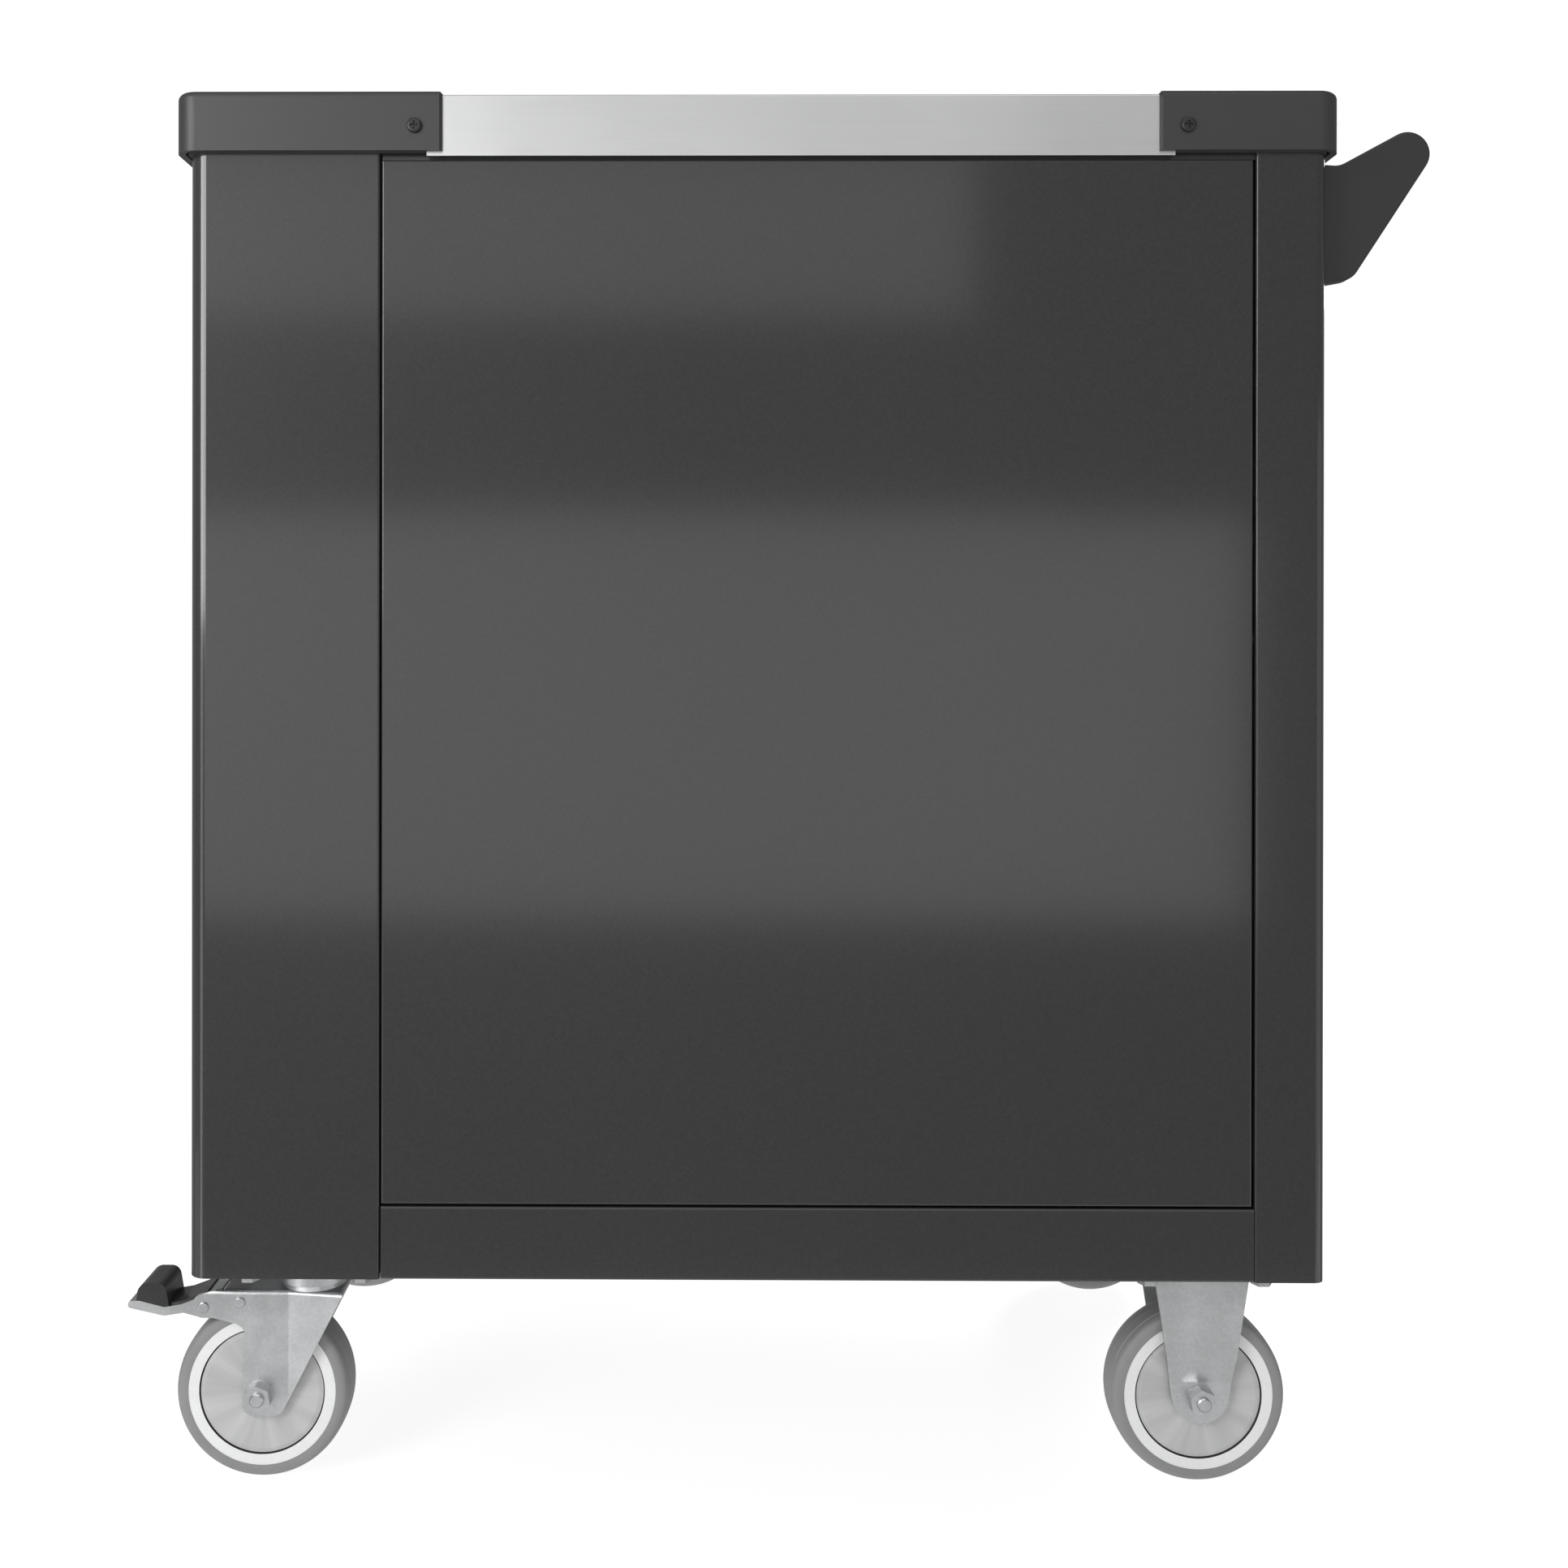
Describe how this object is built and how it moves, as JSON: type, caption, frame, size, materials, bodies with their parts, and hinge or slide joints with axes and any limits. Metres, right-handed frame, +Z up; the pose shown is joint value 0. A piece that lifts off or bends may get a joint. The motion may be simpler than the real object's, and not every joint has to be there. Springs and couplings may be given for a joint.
{
  "type": "rolling tool chest",
  "caption": "Rolling tool chest: drawer cabinet with a narrow side locker, steel worktop with corner caps, push handle, fixed and braked swivel casters.",
  "frame": {"origin": "on the floor, at the middle of the whole chest's footprint between the handle's tip and the brake pedals", "axes": "+Z up; +X along the width, from the push handle to the side locker; drawers open towards -Y"},
  "size_m": [0.9258, 0.4672, 0.985],
  "materials": {
    "painted_steel": "semi-gloss charcoal powder coat",
    "painted_tube": "semi-gloss black powder coat",
    "stainless": "fine brushed",
    "board": "black-faced fibreboard",
    "cap_plastic": "satin charcoal",
    "handle_plastic": "satin charcoal",
    "zinc_plate": "bright zinc plate",
    "dark_steel": "black oxide",
    "lock_chrome": "polished",
    "guard_plastic": "satin grey",
    "core_plastic": "satin light grey",
    "grey_tyre": "smooth grey thermoplastic rubber",
    "pedal_rubber": "black ribbed"
  },
  "bodies": {
    "cabinet": {"side_panel_handle": "painted_steel", "side_panel_inner": "painted_steel", "rear_panel": "painted_steel", "base_pan": "painted_steel", "top_frame": "painted_steel", "slide_uprights": "painted_steel", "locker_shell": "painted_steel", "locker_shelves": "painted_steel", "handle_brackets": "handle_plastic", "handle_tube": "painted_tube", "slide_rails": "zinc_plate", "locker_hinges": "dark_steel", "worktop_board": "board", "worktop_skin": "stainless", "cap_screws": "dark_steel", "hex_bolts": "zinc_plate", "fixed_forks": "zinc_plate", "fixed_axles": "zinc_plate", "fixed_thread_guards": "guard_plastic", "swivel_plates": "zinc_plate", "corner_cap_rear_locker": "cap_plastic", "corner_cap_rear_handle": "cap_plastic", "corner_cap_front_locker": "cap_plastic", "corner_cap_front_handle": "cap_plastic"},
    "drawer_1": {"drawer_1": "painted_steel", "drawer_1_slides": "zinc_plate"},
    "drawer_2": {"drawer_2": "painted_steel", "drawer_2_slides": "zinc_plate"},
    "drawer_3": {"drawer_3": "painted_steel", "drawer_3_slides": "zinc_plate"},
    "drawer_4": {"drawer_4": "painted_steel", "drawer_4_slides": "zinc_plate"},
    "drawer_5": {"drawer_5": "painted_steel", "drawer_5_slides": "zinc_plate"},
    "drawer_6": {"drawer_6": "painted_steel", "drawer_6_slides": "zinc_plate"},
    "drawer_7": {"drawer_7": "painted_steel", "drawer_7_slides": "zinc_plate"},
    "locker_door": {"locker_door": "painted_steel"},
    "locker_latch": {"locker_latch": "handle_plastic"},
    "lock_cylinder": {"lock_cylinder": "lock_chrome"},
    "lock_bar": {"lock_bar": "zinc_plate"},
    "swivel_rear": {"swivel_fork_rear": "zinc_plate", "swivel_axle_rear": "zinc_plate", "swivel_guards_rear": "guard_plastic"},
    "brake_rear": {"brake_lever_rear": "zinc_plate", "brake_pad_rear": "pedal_rubber"},
    "wheel_swivel_rear": {"tyre_swivel_rear": "grey_tyre", "wheel_core_swivel_rear": "core_plastic"},
    "wheel_fixed_rear": {"tyre_fixed_rear": "grey_tyre", "wheel_core_fixed_rear": "core_plastic"},
    "swivel_front": {"swivel_fork_front": "zinc_plate", "swivel_axle_front": "zinc_plate", "swivel_guards_front": "guard_plastic"},
    "brake_front": {"brake_lever_front": "zinc_plate", "brake_pad_front": "pedal_rubber"},
    "wheel_swivel_front": {"tyre_swivel_front": "grey_tyre", "wheel_core_swivel_front": "core_plastic"},
    "wheel_fixed_front": {"tyre_fixed_front": "grey_tyre", "wheel_core_fixed_front": "core_plastic"}
  },
  "joints": [
    {"name": "drawer_1_slide", "type": "slide", "parent": "cabinet", "child": "drawer_1", "axis": [0, -1, 0], "range_m": [0, 0.3]},
    {"name": "drawer_2_slide", "type": "slide", "parent": "cabinet", "child": "drawer_2", "axis": [0, -1, 0], "range_m": [0, 0.3]},
    {"name": "drawer_3_slide", "type": "slide", "parent": "cabinet", "child": "drawer_3", "axis": [0, -1, 0], "range_m": [0, 0.3]},
    {"name": "drawer_4_slide", "type": "slide", "parent": "cabinet", "child": "drawer_4", "axis": [0, -1, 0], "range_m": [0, 0.3]},
    {"name": "drawer_5_slide", "type": "slide", "parent": "cabinet", "child": "drawer_5", "axis": [0, -1, 0], "range_m": [0, 0.3]},
    {"name": "drawer_6_slide", "type": "slide", "parent": "cabinet", "child": "drawer_6", "axis": [0, -1, 0], "range_m": [0, 0.3]},
    {"name": "drawer_7_slide", "type": "slide", "parent": "cabinet", "child": "drawer_7", "axis": [0, -1, 0], "range_m": [0, 0.3]},
    {"name": "locker_door_hinge", "type": "hinge", "parent": "cabinet", "child": "locker_door", "pos_m": [0.39563, -0.228, 0.55], "axis": [0, 0, 1], "range_deg": [0, 110]},
    {"name": "locker_latch_turn", "type": "hinge", "parent": "locker_door", "child": "locker_latch", "pos_m": [0.30262, -0.225, 0.56], "axis": [0, 1, 0], "range_deg": [0, 90]},
    {"name": "lock_turn", "type": "hinge", "parent": "cabinet", "child": "lock_cylinder", "pos_m": [0.24163, -0.225, 0.9295], "axis": [0, 1, 0], "range_deg": [0, 90]},
    {"name": "lock_bar_slide", "type": "slide", "parent": "cabinet", "child": "lock_bar", "axis": [0, 0, -1], "range_m": [0, 0.01]},
    {"name": "swivel_rear_turn", "type": "hinge", "parent": "cabinet", "child": "swivel_rear", "pos_m": [0.33187, 0.174, 0.14], "axis": [0, 0, 1], "continuous": true},
    {"name": "brake_rear_press", "type": "hinge", "parent": "swivel_rear", "child": "brake_rear", "pos_m": [0.40777, 0.174, 0.1247], "axis": [0, 1, 0], "range_deg": [0, 14]},
    {"name": "wheel_swivel_rear_roll", "type": "hinge", "parent": "swivel_rear", "child": "wheel_swivel_rear", "pos_m": [0.36688, 0.174, 0.0625], "axis": [0, 1, 0], "continuous": true},
    {"name": "wheel_fixed_rear_roll", "type": "hinge", "parent": "cabinet", "child": "wheel_fixed_rear", "pos_m": [-0.30512, 0.174, 0.0625], "axis": [0, 1, 0], "continuous": true},
    {"name": "swivel_front_turn", "type": "hinge", "parent": "cabinet", "child": "swivel_front", "pos_m": [0.33187, -0.174, 0.14], "axis": [0, 0, 1], "continuous": true},
    {"name": "brake_front_press", "type": "hinge", "parent": "swivel_front", "child": "brake_front", "pos_m": [0.40777, -0.174, 0.1247], "axis": [0, 1, 0], "range_deg": [0, 14]},
    {"name": "wheel_swivel_front_roll", "type": "hinge", "parent": "swivel_front", "child": "wheel_swivel_front", "pos_m": [0.36688, -0.174, 0.0625], "axis": [0, 1, 0], "continuous": true},
    {"name": "wheel_fixed_front_roll", "type": "hinge", "parent": "cabinet", "child": "wheel_fixed_front", "pos_m": [-0.30512, -0.174, 0.0625], "axis": [0, 1, 0], "continuous": true}
  ],
  "couplings": [
    {"joint": "lock_turn", "follows": "lock_bar_slide", "rad_per_m": 157.08}
  ]
}
